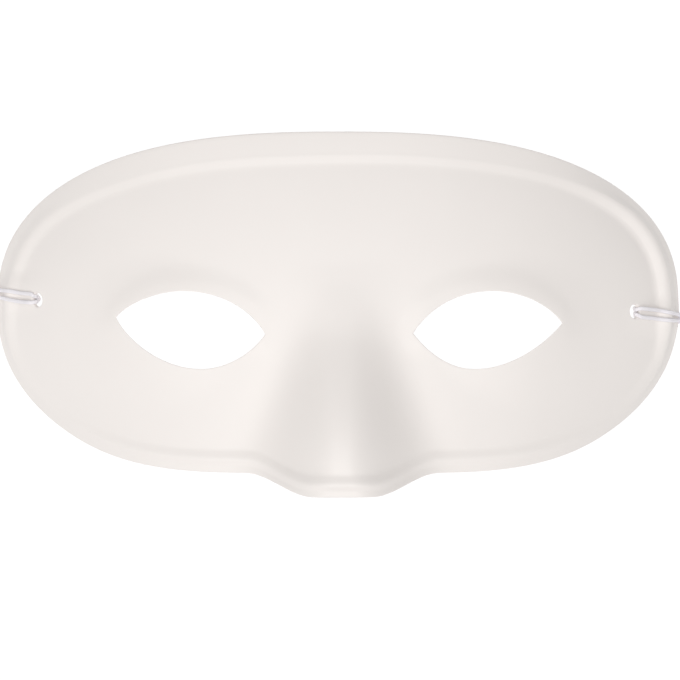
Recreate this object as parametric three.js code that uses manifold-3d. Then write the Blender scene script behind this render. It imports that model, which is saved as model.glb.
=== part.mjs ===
// Half mask of thin moulded plastic with an elastic head band, lying face up.
// Millimetres. X runs left to right across the face, Y from nose to forehead, Z up and out of the face.
// The origin is on the surface the mask lies on, below the middle of the mask.

import * as THREE from "three";
import { mergeVertices } from "three/addons/utils/BufferGeometryUtils.js";
import Module from "manifold-3d";

const wasm = await Module();
wasm.setup();

// Outline, seen square on: a flattened oval with the nose dipping below it
const HALF_WIDTH = 86;
const TOP_REACH = 41.8; // widest row up to the forehead edge
const BOTTOM_REACH = 45.4; // widest row down to the bottom of the plain oval
const TOP_FULLNESS = 2.53; // powers of the two half ovals
const BOTTOM_FULLNESS = 2.34;
const CHEEK_LIFT = 4.5; // how far the cheek edge rises above the oval towards the nose
const CHEEK_LIFT_INNER = 6.9;
const CHEEK_LIFT_OUTER = 64;
const NOSE_X = 1.1; // the nose stands slightly off the middle
const NOSE_DIP = 5.1; // how far the nose edge hangs below the cheek edge
const NOSE_DIP_INNER = 7.4;
const NOSE_DIP_OUTER = 23.5;

// Shell form
const SHELL = 1; // wall thickness
const CROWN = 44.4; // height of the face's middle, without the nose
const WRAP_ROUND = 27; // drop from middle to temple, round part
const WRAP_TURN = 17; // and the part that turns in late, at the temples
const TOP_BOW = 8.5; // how far the forehead edge lies back
const BOTTOM_BOW = 3;
const TEMPLE_BOW_TOP = 0.017; // extra curve up and down at the temples, per mm
const TEMPLE_BOW_BOTTOM = 0.0215;

// Nose
const NOSE_HEIGHT = 18.5;
const NOSE_ROOT_Y = 6;
const NOSE_TIP_Y = -40.1;
const NOSE_END_Y = -47;
const NOSE_ROOT_HALF = 12.6; // half width at the foot of its flanks
const NOSE_END_HALF = 36.6;
const FLANK_FALL = 5; // the higher, the narrower the back and the longer the run out into the cheeks
const RIDGE_ROOT_HALF = 0.8; // half width of its flat back
const RIDGE_END_HALF = 3.2;
const RIDGE_SPREAD_Y = -37.8; // where the back starts to widen to the flat tip

// Lids: wide low swellings round the eye holes
const LID_HEIGHT = 2.6;
const LID_X = 44.4;
const LID_Y = -6.6;
const LID_HALF_WIDTH = 23;
const LID_HALF_HEIGHT = 19.1;

// Stiffening rib inside a plain flange, all round the rim
const FLANGE_HEIGHT = 0.3; // over the level of the face inside the rib
const RIB_HEIGHT = 0.65;
const RIB_OUTER_FOOT = 2.4; // distances in from the forehead edge
const RIB_CREST = 5.4;
const RIB_INNER_FOOT = 8.6;
const RIM_BAND = 9.4;
const RIM_RINGS = [0, 1.2, 2.4, 3.8, 5.4, 6.6, 7.6, 8.6, RIM_BAND];
const BAND_AT_CHEEKS = 0.62; // share of those distances at the cheeks
const BAND_CHANGES = { from: 0, to: 38 }; // heights between which the share grows to 1
const BAND_LESS_AT_RIGHT = 0.1;
const RIGHT_TEMPLE = { from: 40, to: 84 };
const MOST_STEEP = 1.6; // limit on how much a slope heightens the rib

// Mesh: rings from the edge in to a level line across the middle of the face
const INNER_RINGS = 9;
const CORE_STEPS = 9;
const CORE_HALF = 36;
const CORE_Y = -4;

// Eye holes: corner, top and bottom of the right one, and what differs on the left
const EYE_INNER = [18.1, -7.2];
const EYE_TOP = [37.5, 3.5];
const EYE_BOTTOM = [33, -16];
const EYE_OUTER_X = 54.6;
const EYE_OUTER_Y = { left: -3.3, right: -4.7 };
const EYE_CUT_LENGTH = 60;

// Strap holes, punched square to the wall
const STRAP_HOLE_DIAMETER = 3.6;
const PUNCH_LENGTH = 12;
const STRAP_HOLES = { left: [-74.7, 1.15], right: [73.7, -1.7] };

// Where the rim bends up over the elastic, beside the flats it lies on
const ELASTIC_OVER_RIM_Y = { left: 3.2, right: -3.5 };
const ARCH_RISE = 1.9;
const ARCH_HALF = 6;
const ARCH_FROM_X = 70;
const CUT_BLOCK = 120; // half side of the block that trims the rim level below

// Elastic: two round strands side by side, so one tube of their joint section stands for the pair
const ELASTIC_DIAMETER = 1.4;
const ELASTIC_SIDES = 8;
const ELASTIC_STEPS = 84;
const END_CROWDING = 0.7; // how much closer the steps are at the ends, where the elastic bends round the rim
const ELASTIC_ROUTE = [
  // Out of the left strap hole, over the rib, round the rim's edge and under it
  [-74.57, 1.41, 13.55], [-75.16, 1.37, 14.16], [-76.05, 1.44, 14.54], [-76.96, 1.67, 14.25],
  [-79.75, 1.95, 11.5], [-82.75, 2.5, 9.1], [-84.9, 2.8, 6.45], [-86.5, 3.05, 4.15], [-87.3, 3.15, 2.9],
  [-87.25, 3.25, 1.7], [-86.55, 3.3, 0.98], [-85.65, 3.4, 0.77],
  // Loosely along the surface it all lies on, in the hollow behind the face
  [-83, 3.9, 0.72], [-77, 6.5, 0.72], [-67, 16, 0.72], [-54, 26, 0.72], [-37, 33, 0.72],
  [-19, 30, 0.72], [-7, 16, 0.72], [-4, -4, 0.72], [2, -24, 0.72], [15, -35, 0.72], [35, -36, 0.72],
  [54, -28, 0.72], [67, -15.5, 0.72], [77, -6.5, 0.72], [83, -4.2, 0.72],
  // Up round the other edge and into the right strap hole
  [85.65, -3.7, 0.77], [86.55, -3.6, 0.98], [87.25, -3.55, 1.7], [87.3, -3.45, 2.9], [86.5, -3.35, 4.15],
  [84.9, -3.1, 6.45], [82.7, -2.9, 9], [79.5, -2.45, 11.8], [75.97, -2.11, 15.14], [75.08, -1.93, 15.5],
  [74.12, -1.86, 15.1], [73.58, -1.87, 14.45],
];

// Knots that stop it behind the holes
const KNOT_RADIUS = 2.3;
const KNOT_FLATNESS = 0.7;
const KNOT_GAP = 0.42;
const KNOT_ASIDE = 1.6; // towards the rim, so that the hole stays open

const WHITE_SHELL = new THREE.MeshStandardMaterial({ color: 0xf2eeea, roughness: 0.62, metalness: 0 });
const WHITE_ELASTIC = new THREE.MeshStandardMaterial({ color: 0xf3f2f6, roughness: 0.8, metalness: 0 });

const { smoothstep, lerp, clamp } = THREE.MathUtils;

// Half of the oval edge, from the right temple to the left one
class HalfOval extends THREE.Curve {
  constructor(reach, fullness, lift, dip) {
    super();
    this.reach = reach;
    this.fullness = fullness;
    this.lift = lift;
    this.dip = dip;
    this.arcLengthDivisions = 1200;
  }
  getPoint(t, target = new THREE.Vector2()) {
    const angle = Math.PI * t;
    const across = Math.abs(Math.cos(angle)) ** (2 / this.fullness);
    const up = Math.abs(Math.sin(angle)) ** (2 / this.fullness);
    const x = HALF_WIDTH * Math.sign(Math.cos(angle)) * across;
    const dip = this.dip * (1 - smoothstep(Math.abs(x - NOSE_X), NOSE_DIP_INNER, NOSE_DIP_OUTER));
    const lift = this.lift * (1 - smoothstep(Math.abs(x), CHEEK_LIFT_INNER, CHEEK_LIFT_OUTER));
    return target.set(x, this.reach * up + lift - dip);
  }
}
const TOP_EDGE = new HalfOval(TOP_REACH, TOP_FULLNESS, 0, 0);
const BOTTOM_EDGE = new HalfOval(-BOTTOM_REACH, BOTTOM_FULLNESS, CHEEK_LIFT, NOSE_DIP);

// Edge point at a fraction of the way round, starting at the right temple, forehead first
function edgePoint(round) {
  const t = round - Math.floor(round);
  return t <= 0.5 ? TOP_EDGE.getPointAt(2 * t) : BOTTOM_EDGE.getPointAt(2 - 2 * t);
}

// Direction square to the plain oval, pointing in; the cheeks' lift and the nose's dip don't turn it
function inward(point) {
  const fullness = point.y >= 0 ? TOP_FULLNESS : BOTTOM_FULLNESS;
  const reach = point.y >= 0 ? TOP_REACH : BOTTOM_REACH;
  const y = clamp(point.y, -reach, reach);
  const x = clamp(point.x, -HALF_WIDTH, HALF_WIDTH);
  const slopeX = Math.sign(x) * Math.abs(x / HALF_WIDTH) ** (fullness - 1) / HALF_WIDTH;
  const slopeY = Math.sign(y) * Math.abs(y / reach) ** (fullness - 1) / reach;
  return new THREE.Vector2(-slopeX, -slopeY).normalize();
}

// The rim's band is narrower at the cheeks than at the forehead, and a little more so at the right temple
function bandShare(edge) {
  const level = lerp(BAND_AT_CHEEKS, 1, smoothstep(edge.y, BAND_CHANGES.from, BAND_CHANGES.to));
  return level * (1 - BAND_LESS_AT_RIGHT * smoothstep(edge.x, RIGHT_TEMPLE.from, RIGHT_TEMPLE.to));
}

// Plan position of a mesh vertex: rings in from the edge by the band's distances, then shrinking to the core line
function planPoint(ring, round) {
  const edge = edgePoint(round);
  const depth = RIM_RINGS[Math.min(ring, RIM_RINGS.length - 1)] * bandShare(edge);
  const point = edge.clone().addScaledVector(inward(edge), depth);
  const past = Math.max(ring - (RIM_RINGS.length - 1), 0);
  const across = Math.abs(1 - 2 * (round - Math.floor(round)));
  const core = new THREE.Vector2(CORE_HALF * (2 * across - 1), CORE_Y);
  return point.lerp(core, past / INNER_RINGS);
}

function noseHeight(x, y) {
  const run = smoothstep(y, NOSE_TIP_Y, NOSE_ROOT_Y);
  const along = clamp((NOSE_ROOT_Y - y) / (NOSE_ROOT_Y - NOSE_END_Y), 0, 1);
  const spread = smoothstep(-y, -RIDGE_SPREAD_Y, -NOSE_END_Y);
  const ridgeHalf = lerp(RIDGE_ROOT_HALF, RIDGE_END_HALF, spread);
  const footHalf = lerp(NOSE_ROOT_HALF, NOSE_END_HALF, along);
  const aside = clamp((Math.abs(x - NOSE_X) - ridgeHalf) / (footHalf - ridgeHalf), 0, 1);
  return NOSE_HEIGHT * (1 - run) * (1 - aside ** 2) ** FLANK_FALL;
}

function lidHeight(x, y) {
  const far = ((Math.abs(x) - LID_X) / LID_HALF_WIDTH) ** 2 + ((y - LID_Y) / LID_HALF_HEIGHT) ** 2;
  return far < 1 ? LID_HEIGHT * (1 - far) ** 2 : 0;
}

// Rise of the temple rim over the elastic, which passes under it there
function elasticArch(x, y) {
  const side = x < 0 ? "left" : "right";
  const away = Math.abs(y - ELASTIC_OVER_RIM_Y[side]) / ARCH_HALF;
  const bell = away < 1 ? Math.cos(away * Math.PI / 2) ** 2 : 0;
  return ARCH_RISE * bell * smoothstep(Math.abs(x), ARCH_FROM_X, HALF_WIDTH - 2);
}

// Height of the plain curved face, before the nose and the lids
function plainFace(x, y) {
  const u = Math.abs(x) / HALF_WIDTH;
  const wrap = WRAP_ROUND * u ** 2 + WRAP_TURN * u ** 4;
  const bow = y > 0 ? TOP_BOW * (y / TOP_REACH) ** 2 : BOTTOM_BOW * (y / BOTTOM_REACH) ** 2;
  const templeBow = (y > 0 ? TEMPLE_BOW_TOP : TEMPLE_BOW_BOTTOM) * y ** 2 * u ** 4;
  return CROWN - wrap - bow - templeBow;
}

// Height of the outer face without the rib
function form(x, y) {
  return plainFace(x, y) + noseHeight(x, y) + lidHeight(x, y) + elasticArch(x, y);
}

// Direction square out of a surface given by its height
const SLOPE_STEP = 0.1;
function squareOut(height, x, y) {
  const dx = (height(x + SLOPE_STEP, y) - height(x - SLOPE_STEP, y)) / (2 * SLOPE_STEP);
  const dy = (height(x, y + SLOPE_STEP) - height(x, y - SLOPE_STEP)) / (2 * SLOPE_STEP);
  return new THREE.Vector3(-dx, -dy, 1).normalize();
}

// Height of the flange and the rib over the face, at a ring's distance in from the edge
function ribHeight(depth) {
  const rise = lerp(FLANGE_HEIGHT, RIB_HEIGHT, smoothstep(depth, RIB_OUTER_FOOT, RIB_CREST));
  return rise * (1 - smoothstep(depth, RIB_CREST, RIB_INNER_FOOT));
}

// How much a height has to grow to stand proud square to the sloping face
function steepness(x, y) {
  return Math.min(1 / squareOut(plainFace, x, y).z, MOST_STEEP);
}

function outerHeight(x, y, ring) {
  const depth = ring < RIM_RINGS.length ? RIM_RINGS[ring] : RIM_BAND;
  return form(x, y) + ribHeight(depth) * steepness(x, y);
}

// Rectangular grid whose rectangular rings become the rings of the oval, as one open surface
const RINGS = RIM_RINGS.length - 1 + INNER_RINGS;
const HALF_COLUMNS = RINGS + CORE_STEPS;
function gridPoint(i, j) {
  const out = Math.max(Math.abs(i) - CORE_STEPS, Math.abs(j));
  const count = 8 * out + 4 * CORE_STEPS;
  const alongTop = (2 * out + CORE_STEPS - i) / count;
  let round = j > 0 ? alongTop : 1 - alongTop;
  if (Math.abs(j) < out) round = i > 0 ? j / count : 1 / 2 - j / count;
  const ring = RINGS - out;
  const { x, y } = planPoint(ring, round);
  return new THREE.Vector3(x, y, outerHeight(x, y, ring));
}

const ROW = 2 * HALF_COLUMNS + 1;
function outerSurface() {
  const points = [];
  const faces = [];
  for (let j = -RINGS; j <= RINGS; j++) {
    for (let i = -HALF_COLUMNS; i <= HALF_COLUMNS; i++) points.push(gridPoint(i, j));
  }
  for (let row = 0; row < 2 * RINGS; row++) {
    for (let column = 0; column < 2 * HALF_COLUMNS; column++) {
      const a = row * ROW + column;
      const b = a + 1;
      const c = a + ROW;
      const d = c + 1;
      // The diagonal points away from the middle, the same way in mirrored quarters
      const mirrored = (row < RINGS) === (column < HALF_COLUMNS);
      if (mirrored) faces.push(a, b, d, a, d, c);
      else faces.push(a, b, c, b, d, c);
    }
  }
  return new THREE.BufferGeometry().setFromPoints(points).setIndex(faces);
}

// Vertex numbers of the surface's edge, in order round it
function edgeLoop() {
  const loop = [];
  for (let k = 0; k < ROW - 1; k++) loop.push(k);
  for (let k = 0; k < 2 * RINGS; k++) loop.push(k * ROW + ROW - 1);
  for (let k = ROW - 1; k > 0; k--) loop.push(2 * RINGS * ROW + k);
  for (let k = 2 * RINGS; k > 0; k--) loop.push(k * ROW);
  return loop;
}

// The outer surface given its wall: an inner face one wall thickness behind it, and a rim that joins them
function walledShell() {
  const outer = outerSurface();
  outer.computeVertexNormals();
  const place = outer.getAttribute("position");
  const normal = outer.getAttribute("normal");
  const count = place.count;
  const vertices = new Float32Array(6 * count);
  for (let k = 0; k < count; k++) {
    const point = new THREE.Vector3().fromBufferAttribute(place, k);
    const behind = point.clone().addScaledVector(new THREE.Vector3().fromBufferAttribute(normal, k), -SHELL);
    point.toArray(vertices, 3 * k);
    behind.toArray(vertices, 3 * (count + k));
  }
  const front = Array.from(outer.index.array);
  const faces = [...front];
  for (let k = 0; k < front.length; k += 3) {
    faces.push(count + front[k], count + front[k + 2], count + front[k + 1]);
  }
  const loop = edgeLoop();
  loop.forEach((a, k) => {
    const b = loop[(k + 1) % loop.length];
    faces.push(a, count + a, b, b, count + a, count + b);
  });
  const geometry = new THREE.BufferGeometry();
  geometry.setAttribute("position", new THREE.BufferAttribute(vertices, 3));
  return geometry.setIndex(faces);
}

function solid(geometry) {
  const bare = geometry.clone();
  bare.deleteAttribute("normal");
  bare.deleteAttribute("uv");
  const merged = mergeVertices(bare, 1e-4);
  return new wasm.Manifold(new wasm.Mesh({
    numProp: 3,
    vertProperties: merged.getAttribute("position").array,
    triVerts: new Uint32Array(merged.index.array),
  }));
}

function geometryOf(body) {
  const mesh = body.getMesh();
  const geometry = new THREE.BufferGeometry();
  geometry.setAttribute("position", new THREE.BufferAttribute(mesh.vertProperties, 3));
  return geometry.setIndex(new THREE.BufferAttribute(mesh.triVerts, 1));
}

// Prism through the wall, of the almond shape of one eye hole
function eyeCutter(side) {
  const outerY = EYE_OUTER_Y[side];
  const shape = new THREE.Shape();
  shape.moveTo(...EYE_INNER);
  shape.bezierCurveTo(22.3, -12.6, 27.5, EYE_BOTTOM[1], ...EYE_BOTTOM);
  shape.bezierCurveTo(43, EYE_BOTTOM[1], 51.8, -8.5, EYE_OUTER_X, outerY);
  shape.bezierCurveTo(51.5, 0.2, 44, EYE_TOP[1], ...EYE_TOP);
  shape.bezierCurveTo(28, EYE_TOP[1], 21.5, -1.6, ...EYE_INNER);
  const prism = new THREE.ExtrudeGeometry(shape, { depth: EYE_CUT_LENGTH, bevelEnabled: false, curveSegments: 8 });
  if (side === "left") prism.rotateY(Math.PI).translate(0, 0, EYE_CUT_LENGTH);
  return prism;
}

function strapHoleCutter(side) {
  const [x, y] = STRAP_HOLES[side];
  const radius = STRAP_HOLE_DIAMETER / 2;
  const punch = new THREE.CylinderGeometry(radius, radius, PUNCH_LENGTH, 20);
  const turn = new THREE.Quaternion().setFromUnitVectors(new THREE.Vector3(0, 1, 0), squareOut(form, x, y));
  return punch.applyQuaternion(turn).translate(x, y, form(x, y));
}

function maskShell() {
  let body = solid(walledShell());
  for (const side of ["left", "right"]) {
    body = body.subtract(solid(eyeCutter(side)));
    body = body.subtract(solid(strapHoleCutter(side)));
  }
  // The flats it lies on, two at each temple, are cut by the surface below it
  const below = new THREE.BoxGeometry(2 * CUT_BLOCK, 2 * CUT_BLOCK, CUT_BLOCK).translate(0, 0, -CUT_BLOCK / 2);
  body = body.subtract(solid(below));
  const mesh = new THREE.Mesh(geometryOf(body), WHITE_SHELL);
  mesh.name = "mask_shell";
  return mesh;
}

// The elastic's centre line, with its steps crowded towards both ends
class ElasticLine extends THREE.CatmullRomCurve3 {
  crowded(u) {
    return u - END_CROWDING * Math.sin(2 * Math.PI * u) / (2 * Math.PI);
  }
  getPointAt(u, target) {
    return super.getPointAt(this.crowded(u), target);
  }
  getTangentAt(u, target) {
    return super.getTangentAt(this.crowded(u), target);
  }
}

function elasticCord() {
  const line = new ElasticLine(ELASTIC_ROUTE.map((place) => new THREE.Vector3(...place)), false, "centripetal");
  const corners = Array.from({ length: ELASTIC_SIDES }, (_, k) => {
    const angle = 2 * Math.PI * (k + 0.5) / ELASTIC_SIDES;
    return new THREE.Vector2(Math.cos(angle), Math.sin(angle)).multiplyScalar(ELASTIC_DIAMETER / 2);
  });
  const section = new THREE.Shape(corners);
  const tube = new THREE.ExtrudeGeometry(section, { steps: ELASTIC_STEPS, extrudePath: line });
  const mesh = new THREE.Mesh(tube, WHITE_ELASTIC);
  mesh.name = "elastic_cord";
  return mesh;
}

function elasticKnot(side) {
  const [x, y] = STRAP_HOLES[side];
  const normal = squareOut(form, x, y);
  const behind = SHELL + KNOT_GAP + KNOT_RADIUS * KNOT_FLATNESS;
  const knot = new THREE.SphereGeometry(KNOT_RADIUS, 12, 8).scale(1, 1, KNOT_FLATNESS);
  const mesh = new THREE.Mesh(knot, WHITE_ELASTIC);
  mesh.quaternion.setFromUnitVectors(new THREE.Vector3(0, 0, 1), normal);
  const aside = new THREE.Vector3(0, 1, 0).cross(normal).multiplyScalar(Math.sign(x) * KNOT_ASIDE);
  mesh.position.set(x, y, form(x, y)).addScaledVector(normal, -behind).add(aside);
  mesh.name = "elastic_knot_" + side;
  return mesh;
}

// The pieces are drawn about the widest row, and moved so that the origin is below the shell's middle
const face = new THREE.Group();
face.add(maskShell(), elasticCord(), elasticKnot("left"), elasticKnot("right"));
face.position.y = (BOTTOM_REACH + NOSE_DIP - CHEEK_LIFT - TOP_REACH) / 2;

const mask = new THREE.Group();
mask.add(face);

export default mask;
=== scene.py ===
"""Half mask of thin moulded plastic with a white elastic head band, lying face up."""

from collections import namedtuple
from math import cos, pi, radians, sin

import bmesh
import bpy
import numpy as np
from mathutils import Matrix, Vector
from mathutils.geometry import delaunay_2d_cdt


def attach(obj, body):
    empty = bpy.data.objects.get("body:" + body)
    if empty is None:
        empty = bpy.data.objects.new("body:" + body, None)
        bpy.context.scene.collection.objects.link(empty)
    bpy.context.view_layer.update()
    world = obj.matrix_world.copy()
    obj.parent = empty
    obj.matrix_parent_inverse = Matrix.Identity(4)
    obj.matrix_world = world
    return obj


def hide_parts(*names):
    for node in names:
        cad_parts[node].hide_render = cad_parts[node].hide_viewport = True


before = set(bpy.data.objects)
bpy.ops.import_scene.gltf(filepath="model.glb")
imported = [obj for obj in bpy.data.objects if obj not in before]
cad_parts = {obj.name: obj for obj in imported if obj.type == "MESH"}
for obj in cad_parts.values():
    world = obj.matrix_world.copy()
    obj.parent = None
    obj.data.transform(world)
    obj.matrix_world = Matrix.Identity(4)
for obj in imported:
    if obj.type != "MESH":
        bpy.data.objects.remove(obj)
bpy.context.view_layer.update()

# Camera: straight above the mask, metres
CAMERA_PLACE = (0.0005, -0.0067, 0.9)
CAMERA_LENS = 188.7  # millimetres, as is the sensor
CAMERA_SENSOR = 36

# Light, and a glowing floor
SKY_STRENGTH = 0.35
SUN_STRENGTH = 2.28
SUN_FROM = (-0.094, -0.195, 1)
SUN_SOFTNESS = 60  # degrees
FLOOR_GLOW = 0.93
FLOOR_COLOUR = (0.14, 0.14, 0.14, 1)
FLOOR_HALF = 3
FLOOR_Z = -0.00005

# The shell is drawn in millimetres about its widest row, then moved along Y and scaled
MM = 0.001
ROW_SHIFT = 2.1

# Outline, seen square on
HALF_WIDTH = 86
TOP_REACH = 41.8
BOTTOM_REACH = 45.4
TOP_FULLNESS = 2.53
BOTTOM_FULLNESS = 2.34
CHEEK_LIFT = 4.5
CHEEK_LIFT_INNER = 6.9
CHEEK_LIFT_OUTER = 64
NOSE_X = 1.1
NOSE_DIP = 5.1
NOSE_DIP_INNER = 7.4
NOSE_DIP_OUTER = 23.5
EDGE_SAMPLES = 4001

# Shell form: the wall's thickness, the height of the middle, and how much the face falls towards its edges
SHELL = 1
CROWN = 44.4
WRAP_ROUND = 27
WRAP_TURN = 17
TOP_BOW = 8.5
BOTTOM_BOW = 3
TEMPLE_BOW_TOP = 0.0145
TEMPLE_BOW_BOTTOM = 0.0215

# Nose: a ridge with flanks that run out into the cheeks
NOSE_HEIGHT = 18.5
NOSE_ROOT_Y = 6
NOSE_TIP_Y = -40.1
NOSE_END_Y = -47
NOSE_ROOT_HALF = 12.6
NOSE_END_HALF = 36.6
FLANK_FALL = 5
RIDGE_ROOT_HALF = 0.8
RIDGE_END_HALF = 3.2
RIDGE_SPREAD_Y = -37.8

# Bridge: a low broad swelling where the nose runs into the forehead
BRIDGE_HEIGHT = 0.7
BRIDGE_Y = 0.5
BRIDGE_HALF_LENGTH = 10
BRIDGE_FLAT_HALF = 2.5
BRIDGE_FOOT_HALF = 15

# Lids: wide low swellings round the eye holes
LID_HEIGHT = 2.6
LID_X = 44.4
LID_Y = -6.6
LID_HALF_WIDTH = 23
LID_HALF_HEIGHT = 19.1

# Rim: a flange at the edge and a rib inside it, at edge heights from the nose up to the forehead.
# Each row: height Y of the edge, how far in the crest and the rib's inner foot are, and how high the
# crest and the edge stand square to the face.
RIM_AT = {
    "left": (
        (-46.5, 2.9, 5.7, 1.1, 0.3),
        (-41, 3.2, 6, 0.85, 0.3),
        (-30, 2.6, 5.4, 0.4, 0.3),
        (-15, 2, 5, 0.45, 0.3),
        (-5, 2.2, 5.8, 0.95, 0.3),
        (12, 3.9, 7.5, 1.15, 0.4),
        (25, 4.4, 8.2, 1, 0.6),
        (36, 5.7, 9, 0.7, 1.2),
        (41, 5.5, 8.8, 0.65, 1.3),
    ),
    "right": (
        (-46.5, 2.9, 5.7, 1.1, 0.3),
        (-41, 3.2, 5.9, 0.75, 0.3),
        (-30, 2.2, 5.2, 0.3, 0.3),
        (-15, 1.9, 5.3, 1, 0.3),
        (-5, 2.5, 6.8, 1.8, 0.3),
        (12, 2.9, 7.5, 2.3, 0.3),
        (25, 3, 7.5, 2.1, 0.4),
        (36, 4.4, 7.8, 0.8, 1),
        (41, 5.2, 8.5, 0.65, 1.3),
    ),
}
RIM_SIDES_MEET = (-12, 12)  # the left side's sizes turn into the right side's between these
FLANGE_SHARE = 0.45  # part of the way to the crest that is flat, low on the mask
FLANGE_LEVEL_FROM = (20, 36)  # between these edge heights the step turns into an even slope
RIB_EASE = 0.28  # share of the rib's inner side that is rounded at its top and at its foot
MOST_STEEP = 1.6  # the most that a steep face draws out a height square to it
SLOPE_STEP = 0.1

# Eye holes: their corners, top and bottom, and the handles of the four curves between them
EYE_INNER = {"left": (17.5, -7.4), "right": (18.1, -7.2)}
EYE_INNER_BELOW = {"left": (21, -12.6), "right": (22.3, -12.6)}
EYE_INNER_ABOVE = {"left": (20.6, -1.8), "right": (21.5, -1.8)}
EYE_TOP = (37.5, 3)
EYE_TOP_HANDLES_X = (28, 44)
EYE_BOTTOM = (33, -15.8)
EYE_BOTTOM_HANDLES_X = (27.5, 43)
EYE_OUTER = {"left": (54, -3.3), "right": (54.6, -4.7)}
EYE_OUTER_BELOW = (51.5, -8.5)
EYE_OUTER_ABOVE = (51.2, 0)

# Folds: a low raised strip above each eye hole, bounded by a soft crease
FOLD_CREASE = ((12, -3.8), (17.3, 0.2), (23.6, 4), (29.8, 6.5), (37.4, 7.2), (44, 6.5), (51, 3.3), (58, -2.8))
FOLD_RISE = 0.63
FOLD_SOFTNESS = 2.9
FOLD_LOW = (-7, -1)  # fades in between these heights over the line through the eye's corners
FOLD_INNER_FADE = (14, 22)
FOLD_OUTER_FADE = (54, 60)
FOLD_SAMPLES = 200

# Strap holes and the rim's arches over the elastic
STRAP_HOLE_RADIUS = 1.8
STRAP_HOLES = {"left": (-74.7, 1.15), "right": (73.7, -1.7)}
ELASTIC_OVER_RIM_Y = {"left": 3.2, "right": -3.5}
ARCH_RISE = 1.9
ARCH_HALF = 6
ARCH_GROWS_X = (70, 84)  # it grows to its full rise between these

# Mesh of the shell
RIM_POINTS = 720
RIM_RINGS = (
    0.09, 0.22, 0.34, 0.45, 0.55, 0.66, 0.77, 0.87, 0.94, 1,
    1.08, 1.18, 1.3, 1.42, 1.54, 1.66, 1.8, 2, 2.2,
)  # from the edge (0) over the crest (1) and the inner foot (2)
RIM_END = 2.2
BEYOND_FOOT = 3.5
EYE_POINTS = 44  # on each quarter of an eye hole
EYE_FAN = 5  # directions at a corner
CORNER_BELOW = 0.999  # cosine of the turn from which a place is a corner
EYE_RINGS = (0.18, 0.6, 1.1, 1.6, 2.1, 2.7, 3.3, 4, 4.8)
STRAP_POINTS = 40
STRAP_RINGS = (0.2, 0.6, 1.1)
FIELD_STEP = 1.05
FIELD_ROW_SHARE = 0.866
WALL_TURN = (0, 30, 60, 90)  # degrees round a rounded edge
UPRIGHT_NEAR_EYE = 2.5
SAME_POINT_WITHIN = 0.000001
MERGE_WITHIN = 0.004
CUT_WITHIN = 0.0001
SHARP_FROM = 50  # degrees

# Elastic: two slightly flat strands side by side, metres
STRAND_RADIUS = 0.0005
STRAND_FLATNESS = 0.66
STRAND_APART_IN_HOLE = 0.0013
STRAND_APART_AT_HOLE = 0.00215
STRAND_APART = 0.00106
STRANDS_MEET = (0.009, 0.022)  # how far from the hole they draw together
STRAND_SIDES = 14
ELASTIC_STEPS = 620
ELASTIC_LENGTH = 0.28
CURVE_POINTS = 24  # between two given points of a smooth line
SIDES_BLEND = (0.2, 0.8)  # parts of the length between which the two ends' directions blend
SETTLE = 0.0006  # how far the strands lie below the route, which is that of a round cord
SETTLE_IN_HOLE = 0.00046
SETTLE_ENDS = (0.011, 0.015)
HOLE_REACH = 0.003  # how far from its end a strand still lies as it does in the hole
ON_FACE = (0.001, 0.0145)  # how far from the hole the strands lie on the shell
FACE_CLEARANCE = 0.1  # millimetres
FLOOR_CLEARANCE = 0.00002
STRAND_LOWEST = STRAND_RADIUS * STRAND_FLATNESS + FLOOR_CLEARANCE

# Route of the elastic: out of the left hole and over the edge, along the floor, and into the right hole
ELASTIC_LEFT_END = (
    (-0.07457, 0.00141, 0.01355), (-0.07516, 0.00137, 0.01416), (-0.07605, 0.00144, 0.01454),
    (-0.07696, 0.00167, 0.01425), (-0.07975, 0.00195, 0.0115), (-0.08275, 0.0025, 0.0091),
    (-0.0849, 0.0028, 0.00645), (-0.0865, 0.00305, 0.00415), (-0.0873, 0.00315, 0.0029),
    (-0.08725, 0.00325, 0.0017), (-0.08655, 0.0033, 0.00098), (-0.08565, 0.0034, 0.00077),
)
ELASTIC_ON_FLOOR = (
    (-0.083, 0.0039), (-0.077, 0.0065), (-0.067, 0.016), (-0.054, 0.026), (-0.037, 0.033),
    (-0.019, 0.03), (-0.007, 0.016), (-0.004, -0.004), (0.002, -0.024), (0.015, -0.035),
    (0.035, -0.036), (0.054, -0.028), (0.067, -0.0155), (0.077, -0.0065), (0.083, -0.0042),
)
ELASTIC_RIGHT_END = (
    (0.08565, -0.0037, 0.00077), (0.08655, -0.0036, 0.00098), (0.08725, -0.00355, 0.0017),
    (0.0873, -0.00345, 0.0029), (0.0865, -0.00335, 0.00415), (0.0849, -0.0031, 0.00645),
    (0.0827, -0.0029, 0.009), (0.0795, -0.00245, 0.0118), (0.07597, -0.00211, 0.01514),
    (0.07508, -0.00193, 0.0155), (0.07412, -0.00186, 0.0151), (0.07358, -0.00187, 0.01445),
)

# Knots behind the holes
KNOT_RADIUS = 0.0018
KNOT_FLATNESS = 0.7
KNOT_GAP = 0.00045
KNOT_ASIDE = 0.004
KNOT_DEPTH = 1.1
KNOT_STEPS = 160
TAIL_TURN = ((0.0013, -0.0013), (0.0016, -0.00145), (0.0022, -0.0015))  # outward, and out of the face
TAIL_STEPS = 24

# Colours that the surfaces vary between
PLASTIC_TINTS = ((0.835, 0.79, 0.76, 1), (0.86, 0.815, 0.783, 1))
# The fabric's lighter colour is its own lavender white; the darker one is painted shade in the grooves
# between the yarns.
FABRIC_COLOUR_AND_GROOVE_SHADE = ((0.75, 0.725, 0.755, 1), (0.88, 0.85, 0.88, 1))
YARN_LEAN = 0.72  # radians

# A closed loop of the plan: its points' numbers, the directions out of the shell, the radius of the
# rounded edges there, and whether an eye hole is cut along it
Loop = namedtuple("Loop", "numbers out radius is_eye")


# Camera

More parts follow.
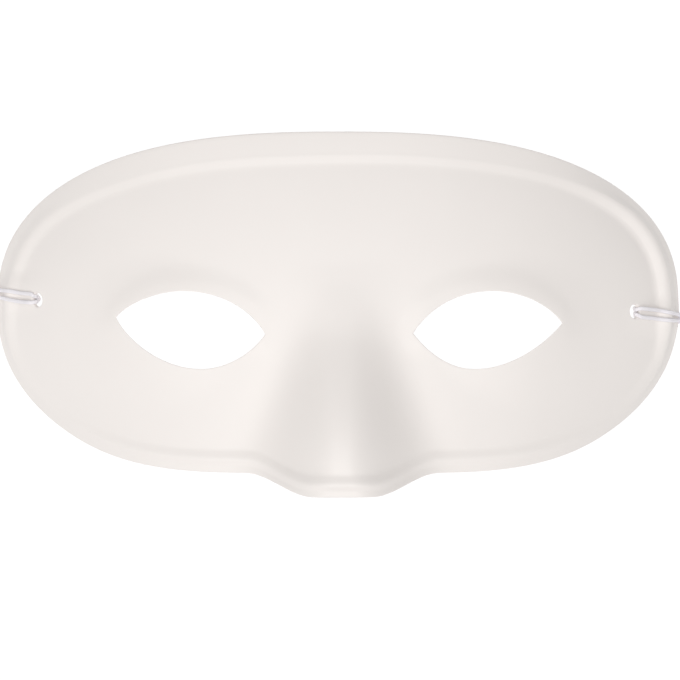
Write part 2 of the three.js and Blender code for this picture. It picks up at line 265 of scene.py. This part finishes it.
def camera():
    data = bpy.data.cameras.new("camera")
    data.lens = CAMERA_LENS
    data.sensor_width = CAMERA_SENSOR
    made = bpy.data.objects.new("camera", data)
    made.location = CAMERA_PLACE
    bpy.context.collection.objects.link(made)
    bpy.context.scene.camera = made


# Lines and directions

def smoothstep(value, low, high):
    t = np.clip((value - low) / (high - low), 0, 1)
    return t * t * (3 - 2 * t)


def unit(vectors):
    return vectors / np.linalg.norm(vectors, axis=-1, keepdims=True)


def run_along(points):
    """How far along the polyline each of its points is."""
    return np.concatenate([[0], np.cumsum(np.linalg.norm(np.diff(points, axis=0), axis=1))])


def evenly(points, count):
    """The polyline through points, as count points at even distances."""
    run = run_along(points)
    wanted = np.linspace(0, run[-1], count)
    return np.column_stack([np.interp(wanted, run, points[:, k]) for k in range(points.shape[1])])


def smooth_line(points, steps):
    """Points at even distances along a centripetal Catmull-Rom curve through the given points."""
    given = np.array(points, float)
    first = 2 * given[0] - given[1]
    last = 2 * given[-1] - given[-2]
    held = np.vstack([first, given, last])
    dense = []
    for p0, p1, p2, p3 in zip(held, held[1:], held[2:], held[3:]):
        t1 = np.linalg.norm(p1 - p0) ** 0.5
        t2 = t1 + np.linalg.norm(p2 - p1) ** 0.5
        t3 = t2 + np.linalg.norm(p3 - p2) ** 0.5
        t = np.linspace(t1, t2, CURVE_POINTS, endpoint=False)[:, None]
        a1 = (t1 - t) / t1 * p0 + t / t1 * p1
        a2 = (t2 - t) / (t2 - t1) * p1 + (t - t1) / (t2 - t1) * p2
        a3 = (t3 - t) / (t3 - t2) * p2 + (t - t2) / (t3 - t2) * p3
        b1 = (t2 - t) / t2 * a1 + t / t2 * a2
        b2 = (t3 - t) / (t3 - t1) * a2 + (t - t1) / (t3 - t1) * a3
        dense.append((t2 - t) / (t2 - t1) * b1 + (t - t1) / (t2 - t1) * b2)
    dense = np.vstack(dense + [given[-1:]])
    return evenly(dense, steps)


def directions(line, closed=False):
    """The direction of the line at each of its points."""
    if closed:
        return unit(np.roll(line, -1, axis=0) - np.roll(line, 1, axis=0))
    return unit(np.gradient(line, axis=0))


def carried_sides(line, first_side):
    """A direction square to the line at each of its points, carried along it without twist."""
    along = directions(line)
    sides = []
    side = np.array(first_side, float)
    for direction in along:
        side = unit(side - direction * np.dot(side, direction))
        sides.append(side)
    return along, np.array(sides)


# Elastic

def elastic_line():
    on_floor = tuple((x, y, STRAND_LOWEST) for x, y in ELASTIC_ON_FLOOR)
    line = smooth_line(ELASTIC_LEFT_END + on_floor + ELASTIC_RIGHT_END, ELASTIC_STEPS)
    along, sides = band_sides(line)
    run = from_hole(line)
    in_hole = 1 - smoothstep(run, 0, HOLE_REACH)
    settled = (SETTLE + (SETTLE_IN_HOLE - SETTLE) * in_hole) * (1 - smoothstep(run, *SETTLE_ENDS))
    line = line + np.cross(along, sides) * settled[:, None]
    return line + (0, ROW_SHIFT * MM, 0)


def from_hole(line):
    """How far along the elastic each point is from the nearer hole."""
    run = np.linspace(0, ELASTIC_LENGTH, len(line))
    return np.minimum(run, ELASTIC_LENGTH - run)


def band_sides(line):
    """The line's directions, and the directions across the two strands, level with the face at both ends."""
    along, from_left = carried_sides(line, (0, 1, 0))
    from_right = carried_sides(line[::-1], (0, 1, 0))[1][::-1]
    part = smoothstep(np.linspace(0, 1, len(line)), *SIDES_BLEND)[:, None]
    sides = from_left * (1 - part) + from_right * part
    return along, unit(sides - along * (sides * along).sum(axis=1, keepdims=True))


def strand_ring(builder, place, side, other):
    angles = [2 * pi * k / STRAND_SIDES for k in range(STRAND_SIDES)]
    return [builder.verts.new(place + STRAND_RADIUS * (cos(a) * side + sin(a) * other)) for a in angles]


def tube(builder, line, sides, flatness=1, closed=False):
    """Adds one strand to a bmesh, with UVs in strand widths along it and turns round it."""
    across = np.cross(directions(line, closed), sides) * flatness
    uv = builder.loops.layers.uv.verify()
    rings = [strand_ring(builder, *here) for here in zip(line, sides, across)]
    run = run_along(line) / (2 * STRAND_RADIUS)
    spans = list(range(len(rings) - 1)) + ([-1] if closed else [])
    for i in spans:
        start = run[i]
        end = run[i + 1] if i >= 0 else start + 1
        for k in range(STRAND_SIDES):
            n = (k + 1) % STRAND_SIDES
            face = builder.faces.new((rings[i][k], rings[i][n], rings[i + 1][n], rings[i + 1][k]))
            face.smooth = True
            turn, next_turn = k / STRAND_SIDES, (k + 1) / STRAND_SIDES
            places = ((start, turn), (start, next_turn), (end, next_turn), (end, turn))
            for loop, place in zip(face.loops, places):
                loop[uv].uv = place
    if not closed:
        builder.faces.new(rings[0][::-1])
        builder.faces.new(rings[-1])


def finished(builder, name, material):
    """The bmesh as a piece in the scene."""
    bmesh.ops.recalc_face_normals(builder, faces=builder.faces)
    data = bpy.data.meshes.new(name)
    builder.to_mesh(data)
    builder.free()
    data.materials.append(material)
    made = bpy.data.objects.new(name, data)
    bpy.context.collection.objects.link(made)
    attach(made, "root")
    return made


def elastic(material):
    line = elastic_line()
    sides = band_sides(line)[1]
    run = from_hole(line)
    apart = STRAND_APART_AT_HOLE + (STRAND_APART - STRAND_APART_AT_HOLE) * smoothstep(run, *STRANDS_MEET)
    apart = apart + (STRAND_APART_IN_HOLE - STRAND_APART_AT_HOLE) * (1 - smoothstep(run, 0, HOLE_REACH))
    builder = bmesh.new()
    for way in (-1, 1):
        strand = line + sides * (way * apart / 2)[:, None]
        strand[:, 2] = np.maximum(strand[:, 2], STRAND_LOWEST)
        strand[:, 2] = np.maximum(strand[:, 2], resting_height(strand, run))
        tube(builder, strand, sides, STRAND_FLATNESS)
    return finished(builder, "elastic", material), line


def resting_height(strand, run):
    """Least heights at which a strand lies clear of the shell's outer face, and 0 where it isn't over it."""
    x, y = strand[:, 0] / MM, strand[:, 1] / MM - ROW_SHIFT
    heights = np.zeros(len(strand))
    for side, way in (("left", -1), ("right", 1)):
        normal = hole_frame(side)[1]
        from_centre = np.hypot((x - STRAP_HOLES[side][0]) / normal[2], y - STRAP_HOLES[side][1])
        over = (x * way > 0) & (run > ON_FACE[0]) & (run < ON_FACE[1]) & (from_centre > STRAP_HOLE_RADIUS)
        over &= inside(np.column_stack([x, y]), edge_points())
        tilt = square_out(form, x[over], y[over])[:, 2]
        stand = (STRAND_RADIUS * STRAND_FLATNESS / MM + FACE_CLEARANCE) / tilt
        heights[over] = (form(x[over], y[over]) + rim_over_face(x[over], y[over]) + stand) * MM
    return heights


def hole_frame(side):
    """A strap hole's centre on the face in metres, and the directions square to the face and to the rim."""
    x, y = STRAP_HOLES[side]
    height = form(np.array([x]), np.array([y]))[0]
    normal = square_out(form, np.array([x]), np.array([y]))[0]
    outward = np.cross((0, 1, 0), normal) * np.sign(x)
    return np.array([x, y + ROW_SHIFT, height]) * MM, normal, outward


def knot(side, end, material):
    """An overhand knot pulled small behind the wall, with the two strands that come to it from the hole."""
    hole, normal, outward = hole_frame(side)
    behind = SHELL * MM + KNOT_GAP + KNOT_RADIUS * KNOT_FLATNESS
    centre = hole + outward * KNOT_ASIDE - normal * behind
    t = np.linspace(0, 2 * pi, KNOT_STEPS, endpoint=False)
    shape = np.column_stack([
        np.sin(t) + 2 * np.sin(2 * t),
        np.cos(t) - 2 * np.cos(2 * t),
        -np.sin(3 * t) * KNOT_DEPTH,
    ])
    shape *= (KNOT_RADIUS - STRAND_RADIUS) / np.hypot(shape[:, 0], shape[:, 1]).max()
    turn = Vector((0, 0, 1)).rotation_difference(Vector(normal)).to_matrix()
    line = shape @ np.array(turn).T + centre
    builder = bmesh.new()
    tube(builder, line, unit(np.cross(directions(line, closed=True), normal)), closed=True)
    for way in (-1, 1):
        start = end + np.array((0, way * STRAND_APART_IN_HOLE / 2, 0))
        turns = [hole + (0, (start - hole)[1], 0) + outward * out + normal * up for out, up in TAIL_TURN]
        tail = smooth_line([start] + turns + [centre], TAIL_STEPS)
        tube(builder, tail, carried_sides(tail, (0, 1, 0))[1], STRAND_FLATNESS)
    made = finished(builder, "knot_" + side, material)
    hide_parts("elastic_knot_" + side)
    return made


# Form of the shell, in millimetres

def half_oval(reach, fullness, cheek_lift, nose_dip):
    angle = np.linspace(0, pi, EDGE_SAMPLES)
    across = np.abs(np.cos(angle)) ** (2 / fullness)
    up = np.abs(np.sin(angle)) ** (2 / fullness)
    x = HALF_WIDTH * np.sign(np.cos(angle)) * across
    dip = nose_dip * (1 - smoothstep(np.abs(x - NOSE_X), NOSE_DIP_INNER, NOSE_DIP_OUTER))
    lift = cheek_lift * (1 - smoothstep(np.abs(x), CHEEK_LIFT_INNER, CHEEK_LIFT_OUTER))
    return np.column_stack([x, reach * up + lift - dip])


def edge_points():
    """The mask's edge, from the right temple over the forehead and back under the nose."""
    top = half_oval(TOP_REACH, TOP_FULLNESS, 0, 0)
    bottom = half_oval(-BOTTOM_REACH, BOTTOM_FULLNESS, CHEEK_LIFT, NOSE_DIP)[::-1]
    return evenly(np.vstack([top, bottom[1:]]), RIM_POINTS + 1)[:-1]


def inward(points):
    """Directions square to the plain oval, pointing in."""
    upper = points[:, 1] >= 0
    fullness = np.where(upper, TOP_FULLNESS, BOTTOM_FULLNESS)
    reach = np.where(upper, TOP_REACH, BOTTOM_REACH)
    x = np.clip(points[:, 0], -HALF_WIDTH, HALF_WIDTH)
    y = np.clip(points[:, 1], -reach, reach)
    slope_x = np.sign(x) * np.abs(x / HALF_WIDTH) ** (fullness - 1) / HALF_WIDTH
    slope_y = np.sign(y) * np.abs(y / reach) ** (fullness - 1) / reach
    return -unit(np.column_stack([slope_x, slope_y]))


def rim_sizes(edge):
    """How far in the crest and the foot are and how high crest and edge stand, at each edge point."""
    sizes = {}
    for side, rows in RIM_AT.items():
        heights = [row[0] for row in rows]
        sizes[side] = np.column_stack([
            np.interp(edge[:, 1], heights, [row[k] for row in rows]) for k in range(1, 5)
        ])
    to_right = smoothstep(edge[:, 0], *RIM_SIDES_MEET)[:, None]
    return sizes["left"] * (1 - to_right) + sizes["right"] * to_right


def rim_distance(sizes, ring):
    """How far in from the edge a ring runs."""
    crest, foot = sizes[:, 0], sizes[:, 1]
    inner = crest + (foot - crest) * np.clip(ring - 1, 0, 1) + BEYOND_FOOT * max(ring - 2, 0)
    return np.where(ring < 1, crest * ring, inner)[:, None]


def plain_face(x, y):
    u = np.abs(x) / HALF_WIDTH
    wrap = WRAP_ROUND * u ** 2 + WRAP_TURN * u ** 4
    bow = np.where(y > 0, TOP_BOW * (y / TOP_REACH) ** 2, BOTTOM_BOW * (y / BOTTOM_REACH) ** 2)
    temple_bow = np.where(y > 0, TEMPLE_BOW_TOP, TEMPLE_BOW_BOTTOM) * y ** 2 * u ** 4
    return CROWN - wrap - bow - temple_bow


def nose_height(x, y):
    run = smoothstep(y, NOSE_TIP_Y, NOSE_ROOT_Y)
    along = np.clip((NOSE_ROOT_Y - y) / (NOSE_ROOT_Y - NOSE_END_Y), 0, 1)
    spread = smoothstep(-y, -RIDGE_SPREAD_Y, -NOSE_END_Y)
    ridge_half = RIDGE_ROOT_HALF + (RIDGE_END_HALF - RIDGE_ROOT_HALF) * spread
    foot_half = NOSE_ROOT_HALF + (NOSE_END_HALF - NOSE_ROOT_HALF) * along
    aside = np.clip((np.abs(x - NOSE_X) - ridge_half) / (foot_half - ridge_half), 0, 1)
    return NOSE_HEIGHT * (1 - run) * (1 - aside ** 2) ** FLANK_FALL


def bridge_height(x, y):
    along = np.clip((y - BRIDGE_Y) / BRIDGE_HALF_LENGTH, -1, 1)
    flank = (np.abs(x - NOSE_X) - BRIDGE_FLAT_HALF) / (BRIDGE_FOOT_HALF - BRIDGE_FLAT_HALF)
    return BRIDGE_HEIGHT * (1 - along ** 2) ** 2 * (1 - np.clip(flank, 0, 1) ** 2) ** 2


def lid_height(x, y):
    far = ((np.abs(x) - LID_X) / LID_HALF_WIDTH) ** 2 + ((y - LID_Y) / LID_HALF_HEIGHT) ** 2
    return LID_HEIGHT * (1 - np.minimum(far, 1)) ** 2


def elastic_arch(x, y):
    over = np.where(x < 0, ELASTIC_OVER_RIM_Y["left"], ELASTIC_OVER_RIM_Y["right"])
    away = np.minimum(np.abs(y - over) / ARCH_HALF, 1)
    return ARCH_RISE * np.cos(away * pi / 2) ** 2 * smoothstep(np.abs(x), *ARCH_GROWS_X)


def form(x, y):
    """Height of the outer face without the rib and the folds over the eyes."""
    parts = (plain_face, nose_height, bridge_height, lid_height, elastic_arch)
    return sum(part(x, y) for part in parts)


def square_out(height, x, y):
    """Directions square out of a surface given by its height."""
    dx = (height(x + SLOPE_STEP, y) - height(x - SLOPE_STEP, y)) / (2 * SLOPE_STEP)
    dy = (height(x, y + SLOPE_STEP) - height(x, y - SLOPE_STEP)) / (2 * SLOPE_STEP)
    return unit(np.column_stack([-dx, -dy, np.ones_like(dx)]))


def even_ramp(part):
    """From 0 to 1 at an even slope that is rounded at both ends."""
    part = np.clip(part, 0, 1)
    start = part ** 2 / (2 * RIB_EASE)
    middle = part - RIB_EASE / 2
    end = 1 - RIB_EASE - (1 - part) ** 2 / (2 * RIB_EASE)
    return np.where(part < RIB_EASE, start, np.where(part < 1 - RIB_EASE, middle, end)) / (1 - RIB_EASE)


def rim_height(ring, edge_y, sizes):
    """How high the rim stands square to the face; ring is 0 at the edge, 1 at the crest, 2 at the foot."""
    crest, edge = sizes[:, 2], sizes[:, 3]
    stepped = smoothstep(ring, FLANGE_SHARE, 1)
    level = smoothstep(edge_y, *FLANGE_LEVEL_FROM)
    outward = stepped + (np.minimum(ring, 1) - stepped) * level
    return (edge + (crest - edge) * outward) * (1 - even_ramp(ring - 1))


def line_through_corners(side, across):
    """Height Y of the line through an eye hole's corners, at distances from the middle."""
    inner, outer = EYE_INNER[side], EYE_OUTER[side]
    return inner[1] + (outer[1] - inner[1]) * (across - inner[0]) / (outer[0] - inner[0])


def taken_straight_up(x, y):
    """How many times taller a height square to the plain face is when it is taken straight up."""
    return np.minimum(1 / square_out(plain_face, x, y)[:, 2], MOST_STEEP)


def rim_over_face(x, y):
    """How high the rim stands over the face at places, from the nearest points of the edge."""
    edge = edge_points()
    away = np.hypot(x[:, None] - edge[:, 0], y[:, None] - edge[:, 1])
    nearest = away.argmin(axis=1)
    sizes = rim_sizes(edge)[nearest]
    crest, foot = sizes[:, 0], sizes[:, 1]
    near = away.min(axis=1)
    ring = np.where(near < crest, near / crest, 1 + (near - crest) / (foot - crest))
    return rim_height(ring, edge[nearest, 1], sizes) * taken_straight_up(x, y)


def fold_height(x, y):
    """The raised strip between an eye hole's upper side and the crease above it."""
    across = np.abs(x)
    crease = smooth_line(FOLD_CREASE, FOLD_SAMPLES)
    crease_y = np.interp(across, crease[:, 0], crease[:, 1])
    corner_line = np.where(x < 0, line_through_corners("left", across), line_through_corners("right", across))
    under = 1 - smoothstep(y - crease_y, -FOLD_SOFTNESS, FOLD_SOFTNESS)
    over = smoothstep(y - corner_line, *FOLD_LOW)
    ends = smoothstep(across, *FOLD_INNER_FADE) * (1 - smoothstep(across, *FOLD_OUTER_FADE))
    return FOLD_RISE * under * over * ends


# Plan of the shell's mesh: loops of points, each a ring round the rim or a hole

def eye_quarters(side):
    """The four curves round an eye hole, each as its two ends with two handles between them."""
    inner, outer = EYE_INNER[side], EYE_OUTER[side]
    top_in, top_out = ((x, EYE_TOP[1]) for x in EYE_TOP_HANDLES_X)
    bottom_in, bottom_out = ((x, EYE_BOTTOM[1]) for x in EYE_BOTTOM_HANDLES_X)
    return (
        (inner, EYE_INNER_BELOW[side], bottom_in, EYE_BOTTOM),
        (EYE_BOTTOM, bottom_out, EYE_OUTER_BELOW, outer),
        (outer, EYE_OUTER_ABOVE, top_out, EYE_TOP),
        (EYE_TOP, top_in, EYE_INNER_ABOVE[side], inner),
    )


def eye_outline(side):
    """Points round an eye hole with the directions out of it; corners come several times, as a fan."""
    places = []
    away = []
    for quarter in eye_quarters(side):
        p0, p1, p2, p3 = (np.array(p, float) for p in quarter)
        t = np.linspace(0, 1, EYE_POINTS)[:, None]
        s = 1 - t
        places.append(s ** 3 * p0 + 3 * s * s * t * p1 + 3 * s * t * t * p2 + t ** 3 * p3)
        heading = unit(s * s * (p1 - p0) + 2 * s * t * (p2 - p1) + t * t * (p3 - p2))
        away.append(np.column_stack([heading[:, 1], -heading[:, 0]]))
    loop = []
    for k in range(4):
        loop += list(zip(places[k][:-1], away[k][:-1]))
        here = away[k][-1]
        then = away[(k + 1) % 4][0]
        if np.dot(here, then) < CORNER_BELOW:
            for part in np.linspace(0, 1, EYE_FAN)[:-1]:
                loop.append((places[k][-1], unit(here + (then - here) * part)))
    points = np.array([place for place, _ in loop])
    out = np.array([direction for _, direction in loop])
    if side == "left":
        points = points * (-1, 1)
        out = out * (-1, 1)
    return points, out


def strap_outline(side):
    """Points of a circle square to the wall, seen from above, with the directions out of it."""
    x, y = STRAP_HOLES[side]
    normal = square_out(form, np.array([x]), np.array([y]))[0]
    first = unit(np.cross((0, 1, 0), normal))
    second = np.cross(normal, first)
    angle = np.linspace(0, 2 * pi, STRAP_POINTS, endpoint=False)[:, None]
    circle = (np.cos(angle) * first + np.sin(angle) * second)[:, :2]
    return np.array((x, y)) + STRAP_HOLE_RADIUS * circle, circle


def inside(points, loop):
    """Which points lie inside a closed loop."""
    x, y = points[:, 0][:, None], points[:, 1][:, None]
    ax, ay = loop[:, 0], loop[:, 1]
    bx, by = np.roll(ax, -1), np.roll(ay, -1)
    spans = (ay > y) != (by > y)
    rise = np.where(by == ay, 1, by - ay)
    crossings = spans & (x < (bx - ax) * (y - ay) / rise + ax)
    return crossings.sum(axis=1) % 2 == 1


def field_points(border, holes):
    """A staggered field of points inside the border ring and outside the rings round the holes."""
    rows = np.arange(-BOTTOM_REACH, TOP_REACH, FIELD_STEP * FIELD_ROW_SHARE)
    points = []
    for k, y in enumerate(rows):
        shift = FIELD_STEP / 2 if k % 2 else 0
        for x in np.arange(-HALF_WIDTH + shift, HALF_WIDTH, FIELD_STEP):
            points.append((x, y))
    points = np.array(points)
    keep = inside(points, border)
    for hole in holes:
        keep &= ~inside(points, hole)
    return points[keep]


class Plan:
    """Points of the shell seen from above, each with the rim's height over the face there."""

    def __init__(self):
        self.points = []
        self.heights = []
        self.edges = []
        self.count = 0

    def add(self, points, height=0, ring=True):
        """Adds points, joined into a closed ring or left loose, and gives their numbers."""
        first = self.count
        self.points.append(points)
        self.heights.append(np.zeros(len(points)) + height)
        self.count += len(points)
        numbers = list(range(first, self.count))
        if ring:
            self.edges += list(zip(numbers, numbers[1:] + numbers[:1]))
        return numbers

    def triangles(self, border, holes):
        """The points as they end up, their heights, the triangles between the loops, and the new numbers."""
        points = np.vstack(self.points)
        heights = np.concatenate(self.heights)
        made = delaunay_2d_cdt([Vector(p) for p in points], self.edges, [], 0, SAME_POINT_WITHIN, True)
        places, faces, origins = made[0], made[2], made[3]
        height_at = np.array([heights[o[0]] if o else 0 for o in origins])
        number_of = {}
        for k, came_from in enumerate(origins):
            for o in came_from:
                number_of[o] = k
        places = np.array([tuple(p) for p in places])
        faces = np.array(faces)
        middles = places[faces].mean(axis=1)
        keep = inside(middles, points[border])
        for hole in holes:
            keep &= ~inside(middles, points[hole])
        return places, height_at, faces[keep], number_of


def vertex_normals(places, faces):
    a, b, c = (places[faces[:, k]] for k in range(3))
    face_normals = np.cross(b - a, c - a)
    normals = np.zeros_like(places)
    for k in range(3):
        np.add.at(normals, faces[:, k], face_normals)
    return unit(normals)


def near_loop(points, loop, reach):
    """1 at the loop, falling to 0 at a distance from it."""
    nearest = np.full(len(points), np.inf)
    for place in loop:
        nearest = np.minimum(nearest, np.linalg.norm(points - place, axis=1))
    return 1 - smoothstep(nearest, 0, reach)


def shell_plan():
    """The plan with all its points, and the loops that bound it: the rim's and the holes'."""
    plan = Plan()
    edge = edge_points()
    into = inward(edge)
    sizes = rim_sizes(edge)
    rings = []
    for ring in RIM_RINGS:
        height = rim_height(ring, edge[:, 1], sizes)
        rings.append(plan.add(edge + into * rim_distance(sizes, ring), height))
    rim = Loop(rings[0], -into, rim_distance(sizes, RIM_RINGS[0]), False)
    holes = []
    taken = []
    for side in ("left", "right"):
        for outline, steps in ((eye_outline, EYE_RINGS), (strap_outline, STRAP_RINGS)):
            points, out = outline(side)
            rings = [plan.add(points + out * away) for away in steps]
            holes.append(Loop(rings[0], -out, steps[0], outline is eye_outline))
            taken.append(points + out * (steps[-1] + FIELD_STEP / 2))
    border = edge + into * (rim_distance(sizes, RIM_END) + FIELD_STEP / 2)
    plan.add(field_points(border, taken), ring=False)
    return plan, rim, holes


class ShellMesh:
    """The shell in a bmesh: its outer and inner face, and the strips that join them."""

    def __init__(self, plan, rim, holes):
        flat, rim_rise, faces, self.number_of = plan.triangles(rim.numbers, [hole.numbers for hole in holes])
        x, y = flat[:, 0], flat[:, 1]
        height = form(x, y) + fold_height(x, y) + rim_rise * taken_straight_up(x, y)
        self.outer = np.column_stack([flat, height])
        a, b, c = (flat[faces[:, k]] for k in range(3))
        turned = np.cross(b - a, c - a) < 0
        faces[turned] = faces[turned][:, ::-1]
        self.normals = vertex_normals(self.outer, faces)
        self.back = self.wall_depth([hole for hole in holes if hole.is_eye])
        self.inner = self.outer - self.back
        self.builder = bmesh.new()
        self.front = [self.builder.verts.new(place) for place in self.outer]
        self.rear = [self.builder.verts.new(place) for place in self.inner]
        for a, b, c in faces:
            self.builder.faces.new((self.front[a], self.front[b], self.front[c]))
            self.builder.faces.new((self.rear[a], self.rear[c], self.rear[b]))

    def numbers(self, loop):
        return [self.number_of[k] for k in loop.numbers]

    def wall_depth(self, eye_holes):
        """From the inner face to the outer: square to the face, but upright where the eye holes are cut."""
        flat = self.outer[:, :2]
        back = self.normals * SHELL
        upright = np.column_stack([np.zeros((len(flat), 2)), SHELL / self.normals[:, 2]])
        for hole in eye_holes:
            near = near_loop(flat, flat[self.numbers(hole)], UPRIGHT_NEAR_EYE)[:, None]
            back = back * (1 - near) + upright * near
        return back

    def wall(self, loop):
        """A strip with rounded edges that joins the two faces along a loop."""
        numbers = self.numbers(loop)
        outer, inner, normal = self.outer[numbers], self.inner[numbers], self.normals[numbers]
        lift = -(normal[:, :2] * loop.out).sum(axis=1) / normal[:, 2]
        away = np.column_stack([loop.out, lift]) * loop.radius
        down = unit(self.back[numbers]) * loop.radius
        rows = [[self.front[k] for k in numbers]]
        for degrees in WALL_TURN[1:]:
            places = outer + away * sin(radians(degrees)) - down * (1 - cos(radians(degrees)))
            rows.append([self.builder.verts.new(place) for place in places])
        for degrees in WALL_TURN[:0:-1]:
            places = inner + away * sin(radians(degrees)) + down * (1 - cos(radians(degrees)))
            rows.append([self.builder.verts.new(place) for place in places])
        rows.append([self.rear[k] for k in numbers])
        for upper, lower in zip(rows, rows[1:]):
            for k in range(len(numbers)):
                n = (k + 1) % len(numbers)
                self.builder.faces.new((upper[k], upper[n], lower[n], lower[k]))


def mask_shell(material):
    plan, rim, holes = shell_plan()
    shell = ShellMesh(plan, rim, holes)
    for loop in [rim] + holes:
        shell.wall(loop)
    builder = shell.builder
    bmesh.ops.remove_doubles(builder, verts=builder.verts, dist=MERGE_WITHIN)
    trim_below(builder)
    for vertex in builder.verts:
        vertex.co = Vector((vertex.co.x, vertex.co.y + ROW_SHIFT, vertex.co.z)) * MM
    for face in builder.faces:
        face.smooth = True
    made = finished(builder, "shell", material)
    made.data.set_sharp_from_angle(angle=radians(SHARP_FROM))
    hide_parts("mask_shell")
    return made


def trim_below(builder):
    """Cuts the flats that the mask lies on, level with the floor."""
    everything = builder.verts[:] + builder.edges[:] + builder.faces[:]
    bmesh.ops.bisect_plane(
        builder, geom=everything, dist=CUT_WITHIN, plane_co=(0, 0, 0), plane_no=(0, 0, 1), clear_inner=True
    )
    open_edges = [edge for edge in builder.edges if edge.is_boundary]
    bmesh.ops.holes_fill(builder, edges=open_edges, sides=0)
    bmesh.ops.triangulate(builder, faces=[face for face in builder.faces if len(face.verts) > 4])


# Materials

def new_material(name):
    """A material, a function that adds nodes to it, its surface shader and its links."""
    material = bpy.data.materials.new(name)
    material.use_nodes = True
    nodes = material.node_tree.nodes
    links = material.node_tree.links

    def node(kind, inputs=None, **settings):
        made = nodes.new(kind)
        for key, value in settings.items():
            setattr(made, key, value)
        for key, value in (inputs or {}).items():
            if isinstance(value, bpy.types.NodeSocket):
                links.new(value, made.inputs[key])
            else:
                made.inputs[key].default_value = value
        return made

    return material, node, nodes["Principled BSDF"], links


def plastic():
    """Matte warm white moulded plastic: faintly uneven gloss, soft flow marks and a fine surface grain."""
    material, node, surface, links = new_material("white plastic")
    place = node("ShaderNodeTexCoord").outputs["Object"]
    clouds = node("ShaderNodeTexNoise", {"Vector": place, "Scale": 45, "Detail": 3, "Roughness": 0.5})
    tint = node("ShaderNodeMix", {"Factor": clouds.outputs["Fac"]}, data_type="RGBA")
    tint.inputs["A"].default_value, tint.inputs["B"].default_value = PLASTIC_TINTS
    links.new(tint.outputs["Result"], surface.inputs["Base Color"])
    gloss = node("ShaderNodeMapRange", {"Value": clouds.outputs["Fac"], "To Min": 0.5, "To Max": 0.62})
    links.new(gloss.outputs["Result"], surface.inputs["Roughness"])
    grain = node("ShaderNodeTexNoise", {"Vector": place, "Scale": 1900, "Detail": 2, "Roughness": 0.6})
    waves = node("ShaderNodeTexNoise", {"Vector": place, "Scale": 160, "Detail": 2, "Roughness": 0.5})
    fine = node("ShaderNodeBump", {"Height": grain.outputs["Fac"], "Strength": 0.12, "Distance": 0.00003})
    broad = node("ShaderNodeBump", {"Height": waves.outputs["Fac"], "Strength": 0.25, "Distance": 0.00012})
    links.new(fine.outputs["Normal"], broad.inputs["Normal"])
    links.new(broad.outputs["Normal"], surface.inputs["Normal"])
    surface.inputs["IOR"].default_value = 1.46
    return material


def elastic_fabric():
    """Braided white cover of the elastic: two sets of yarns that cross along it, bumped, with painted shade
    darkening the grooves between them.
    """
    material, node, surface, links = new_material("white elastic")
    place = node("ShaderNodeUVMap").outputs["UV"]
    heights = []
    for lean in (-1, 1):
        turned = node("ShaderNodeMapping", {"Vector": place, "Rotation": (0, 0, lean * YARN_LEAN)})
        turned = turned.outputs["Vector"]
        yarn = node("ShaderNodeTexWave", {"Vector": turned, "Scale": 1.3, "Distortion": 0.3})
        heights.append(yarn.outputs["Fac"])
    braid = node("ShaderNodeMath", {0: heights[0], 1: heights[1]}, operation="MAXIMUM").outputs["Value"]
    # Painted shade: the colour darkens where the braid is low, in the grooves between the yarns.
    tint = node("ShaderNodeMix", {"Factor": braid}, data_type="RGBA")
    tint.inputs["A"].default_value, tint.inputs["B"].default_value = FABRIC_COLOUR_AND_GROOVE_SHADE
    links.new(tint.outputs["Result"], surface.inputs["Base Color"])
    bump = node("ShaderNodeBump", {"Height": braid, "Strength": 0.6, "Distance": 0.00008})
    links.new(bump.outputs["Normal"], surface.inputs["Normal"])
    surface.inputs["Roughness"].default_value = 0.85
    surface.inputs["Sheen Weight"].default_value = 0.25
    surface.inputs["Sheen Roughness"].default_value = 0.5
    return material


# Floor and light

def floor():
    material, _, surface, _ = new_material("white floor")
    surface.inputs["Base Color"].default_value = FLOOR_COLOUR
    surface.inputs["Roughness"].default_value = 1
    surface.inputs["Specular IOR Level"].default_value = 0
    surface.inputs["Emission Color"].default_value = (1, 1, 1, 1)
    surface.inputs["Emission Strength"].default_value = FLOOR_GLOW
    builder = bmesh.new()
    corners = ((-1, -1), (1, -1), (1, 1), (-1, 1))
    builder.faces.new([builder.verts.new((a * FLOOR_HALF, b * FLOOR_HALF, FLOOR_Z)) for a, b in corners])
    data = bpy.data.meshes.new("floor")
    builder.to_mesh(data)
    builder.free()
    data.materials.append(material)
    made = bpy.data.objects.new("floor", data)
    bpy.context.collection.objects.link(made)


def light():
    world = bpy.data.worlds.new("studio")
    world.use_nodes = True
    world.node_tree.nodes["Background"].inputs["Color"].default_value = (1, 1, 1, 1)
    world.node_tree.nodes["Background"].inputs["Strength"].default_value = SKY_STRENGTH
    bpy.context.scene.world = world
    data = bpy.data.lights.new("soft box", "SUN")
    data.energy = SUN_STRENGTH
    data.angle = radians(SUN_SOFTNESS)
    made = bpy.data.objects.new("soft box", data)
    made.rotation_euler = Vector(SUN_FROM).to_track_quat("Z", "Y").to_euler()
    bpy.context.collection.objects.link(made)
    bpy.context.scene.view_settings.view_transform = "Standard"


camera()
fabric = elastic_fabric()
band, band_line = elastic(fabric)
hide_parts("elastic_cord")
knots = [knot("left", band_line[0], fabric), knot("right", band_line[-1], fabric)]
mask_shell(plastic())
floor()
light()
